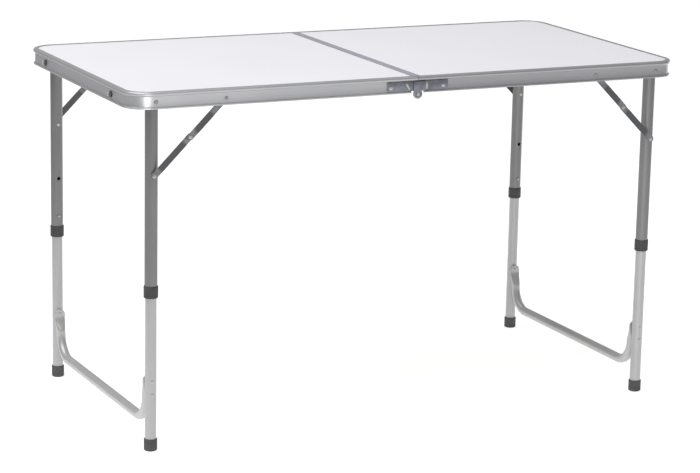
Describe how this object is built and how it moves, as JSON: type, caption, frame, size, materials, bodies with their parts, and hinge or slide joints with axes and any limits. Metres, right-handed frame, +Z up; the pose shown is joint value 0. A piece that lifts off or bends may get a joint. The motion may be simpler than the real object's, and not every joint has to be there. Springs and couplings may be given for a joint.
{
  "type": "folding table",
  "caption": "Case-folding table with a white laminate top in an aluminium edge frame, telescopic legs on elbow braces, stretchers, centre hinges and end latches.",
  "frame": {"origin": "on the floor, under the middle of the open table", "axes": "+X along the long side towards the half that carries the handle, +Y across towards the back, +Z up"},
  "size_m": [1.208, 0.6022, 0.706],
  "materials": {
    "white_laminate": "white satin laminate on fibreboard",
    "edge_extrusion": "satin anodised, drawn lengthwise",
    "leg_aluminium": "satin anodised tube",
    "dark_plastic": "moulded, fine grain",
    "foot_rubber": "moulded, matt",
    "bright_steel": "bright plated",
    "zinc_steel": "dull zinc plate"
  },
  "bodies": {
    "left_top": {"left_panel": "white_laminate", "left_edge_frame": "edge_extrusion", "left_fold_rail": "edge_extrusion", "left_front_leg_pivot_rivet": "bright_steel", "left_back_leg_pivot_rivet": "bright_steel", "left_front_brace_rivet": "bright_steel", "left_back_brace_rivet": "bright_steel", "front_hinge_left_leaf": "zinc_steel", "front_hinge_rivet": "bright_steel", "front_catch_stud": "bright_steel", "back_hinge_left_leaf": "zinc_steel", "back_hinge_rivet": "bright_steel", "back_catch_stud": "bright_steel"},
    "right_top": {"right_panel": "white_laminate", "right_edge_frame": "edge_extrusion", "right_fold_rail": "edge_extrusion", "right_front_leg_pivot_rivet": "bright_steel", "right_back_leg_pivot_rivet": "bright_steel", "right_front_brace_rivet": "bright_steel", "right_back_brace_rivet": "bright_steel", "front_hinge_right_leaf": "zinc_steel", "front_latch_rivet": "bright_steel", "front_handle_bracket": "dark_plastic", "back_hinge_right_leaf": "zinc_steel", "back_latch_rivet": "bright_steel", "back_handle_bracket": "dark_plastic"},
    "left_leg_uppers": {"left_front_upper_leg": "leg_aluminium", "left_front_leg_collar": "dark_plastic", "left_back_upper_leg": "leg_aluminium", "left_back_leg_collar": "dark_plastic"},
    "left_leg_lowers": {"left_front_lower_leg": "leg_aluminium", "left_front_foot_cap": "foot_rubber", "left_front_spring_clip": "bright_steel", "left_back_lower_leg": "leg_aluminium", "left_back_foot_cap": "foot_rubber", "left_back_spring_clip": "bright_steel", "left_leg_stretcher": "leg_aluminium"},
    "left_front_brace_upper_link": {"left_front_upper_brace": "zinc_steel"},
    "left_front_brace_lower_link": {"left_front_lower_brace": "zinc_steel"},
    "left_back_brace_upper_link": {"left_back_upper_brace": "zinc_steel"},
    "left_back_brace_lower_link": {"left_back_lower_brace": "zinc_steel"},
    "right_leg_uppers": {"right_front_upper_leg": "leg_aluminium", "right_front_leg_collar": "dark_plastic", "right_back_upper_leg": "leg_aluminium", "right_back_leg_collar": "dark_plastic"},
    "right_leg_lowers": {"right_front_lower_leg": "leg_aluminium", "right_front_foot_cap": "foot_rubber", "right_front_spring_clip": "bright_steel", "right_back_lower_leg": "leg_aluminium", "right_back_foot_cap": "foot_rubber", "right_back_spring_clip": "bright_steel", "right_leg_stretcher": "leg_aluminium"},
    "right_front_brace_upper_link": {"right_front_upper_brace": "zinc_steel"},
    "right_front_brace_lower_link": {"right_front_lower_brace": "zinc_steel"},
    "right_back_brace_upper_link": {"right_back_upper_brace": "zinc_steel"},
    "right_back_brace_lower_link": {"right_back_lower_brace": "zinc_steel"},
    "front_latch_hook": {"front_latch": "zinc_steel"},
    "back_latch_hook": {"back_latch": "zinc_steel"},
    "handle_bail": {"carry_handle": "dark_plastic"}
  },
  "joints": [
    {"name": "top_fold", "type": "hinge", "parent": "left_top", "child": "right_top", "pos_m": [0, 0, 0.671], "axis": [0, 1, 0], "range_deg": [0, 75]},
    {"name": "left_leg_fold", "type": "hinge", "parent": "left_top", "child": "left_leg_uppers", "pos_m": [-0.546, 0, 0.686], "axis": [0, -1, 0], "range_deg": [0, 90]},
    {"name": "left_leg_slide", "type": "slide", "parent": "left_leg_uppers", "child": "left_leg_lowers", "axis": [0, 0, 1], "range_m": [0, 0.154], "deforming": ["left_front_spring_clip", "left_back_spring_clip"]},
    {"name": "left_front_upper_brace_fold", "type": "hinge", "parent": "left_top", "child": "left_front_brace_upper_link", "pos_m": [-0.404, -0.2925, 0.686], "axis": [0, 1, 0], "range_deg": [0, 45]},
    {"name": "left_front_lower_brace_fold", "type": "hinge", "parent": "left_leg_uppers", "child": "left_front_brace_lower_link", "pos_m": [-0.546, -0.2893, 0.544], "axis": [0, -1, 0], "range_deg": [0, 45]},
    {"name": "left_back_upper_brace_fold", "type": "hinge", "parent": "left_top", "child": "left_back_brace_upper_link", "pos_m": [-0.404, 0.2925, 0.686], "axis": [0, 1, 0], "range_deg": [0, 45]},
    {"name": "left_back_lower_brace_fold", "type": "hinge", "parent": "left_leg_uppers", "child": "left_back_brace_lower_link", "pos_m": [-0.546, 0.2893, 0.544], "axis": [0, -1, 0], "range_deg": [0, 45]},
    {"name": "right_leg_fold", "type": "hinge", "parent": "right_top", "child": "right_leg_uppers", "pos_m": [0.546, 0, 0.686], "axis": [0, 1, 0], "range_deg": [0, 90]},
    {"name": "right_leg_slide", "type": "slide", "parent": "right_leg_uppers", "child": "right_leg_lowers", "axis": [0, 0, 1], "range_m": [0, 0.154], "deforming": ["right_front_spring_clip", "right_back_spring_clip"]},
    {"name": "right_front_upper_brace_fold", "type": "hinge", "parent": "right_top", "child": "right_front_brace_upper_link", "pos_m": [0.404, -0.2925, 0.686], "axis": [0, -1, 0], "range_deg": [0, 45]},
    {"name": "right_front_lower_brace_fold", "type": "hinge", "parent": "right_leg_uppers", "child": "right_front_brace_lower_link", "pos_m": [0.546, -0.2893, 0.544], "axis": [0, 1, 0], "range_deg": [0, 45]},
    {"name": "right_back_upper_brace_fold", "type": "hinge", "parent": "right_top", "child": "right_back_brace_upper_link", "pos_m": [0.404, 0.2925, 0.686], "axis": [0, -1, 0], "range_deg": [0, 45]},
    {"name": "right_back_lower_brace_fold", "type": "hinge", "parent": "right_leg_uppers", "child": "right_back_brace_lower_link", "pos_m": [0.546, 0.2893, 0.544], "axis": [0, 1, 0], "range_deg": [0, 45]},
    {"name": "front_latch_swing", "type": "hinge", "parent": "right_top", "child": "front_latch_hook", "pos_m": [0.6, -0.19, 0.687], "axis": [-1, 0, 0], "range_deg": [0, 90]},
    {"name": "back_latch_swing", "type": "hinge", "parent": "right_top", "child": "back_latch_hook", "pos_m": [0.6, 0.19, 0.687], "axis": [1, 0, 0], "range_deg": [0, 90]},
    {"name": "handle_swing", "type": "hinge", "parent": "right_top", "child": "handle_bail", "pos_m": [0.6015, 0, 0.687], "axis": [0, -1, 0], "range_deg": [0, 90]}
  ],
  "couplings": [
    {"joint": "left_leg_slide", "follows": "left_leg_fold", "m_per_rad": 0.09803},
    {"joint": "left_front_upper_brace_fold", "follows": "left_leg_fold", "ratio": 0.5},
    {"joint": "left_front_lower_brace_fold", "follows": "left_leg_fold", "ratio": 0.5},
    {"joint": "left_back_upper_brace_fold", "follows": "left_leg_fold", "ratio": 0.5},
    {"joint": "left_back_lower_brace_fold", "follows": "left_leg_fold", "ratio": 0.5},
    {"joint": "right_leg_slide", "follows": "right_leg_fold", "m_per_rad": 0.09803},
    {"joint": "right_front_upper_brace_fold", "follows": "right_leg_fold", "ratio": 0.5},
    {"joint": "right_front_lower_brace_fold", "follows": "right_leg_fold", "ratio": 0.5},
    {"joint": "right_back_upper_brace_fold", "follows": "right_leg_fold", "ratio": 0.5},
    {"joint": "right_back_lower_brace_fold", "follows": "right_leg_fold", "ratio": 0.5}
  ]
}
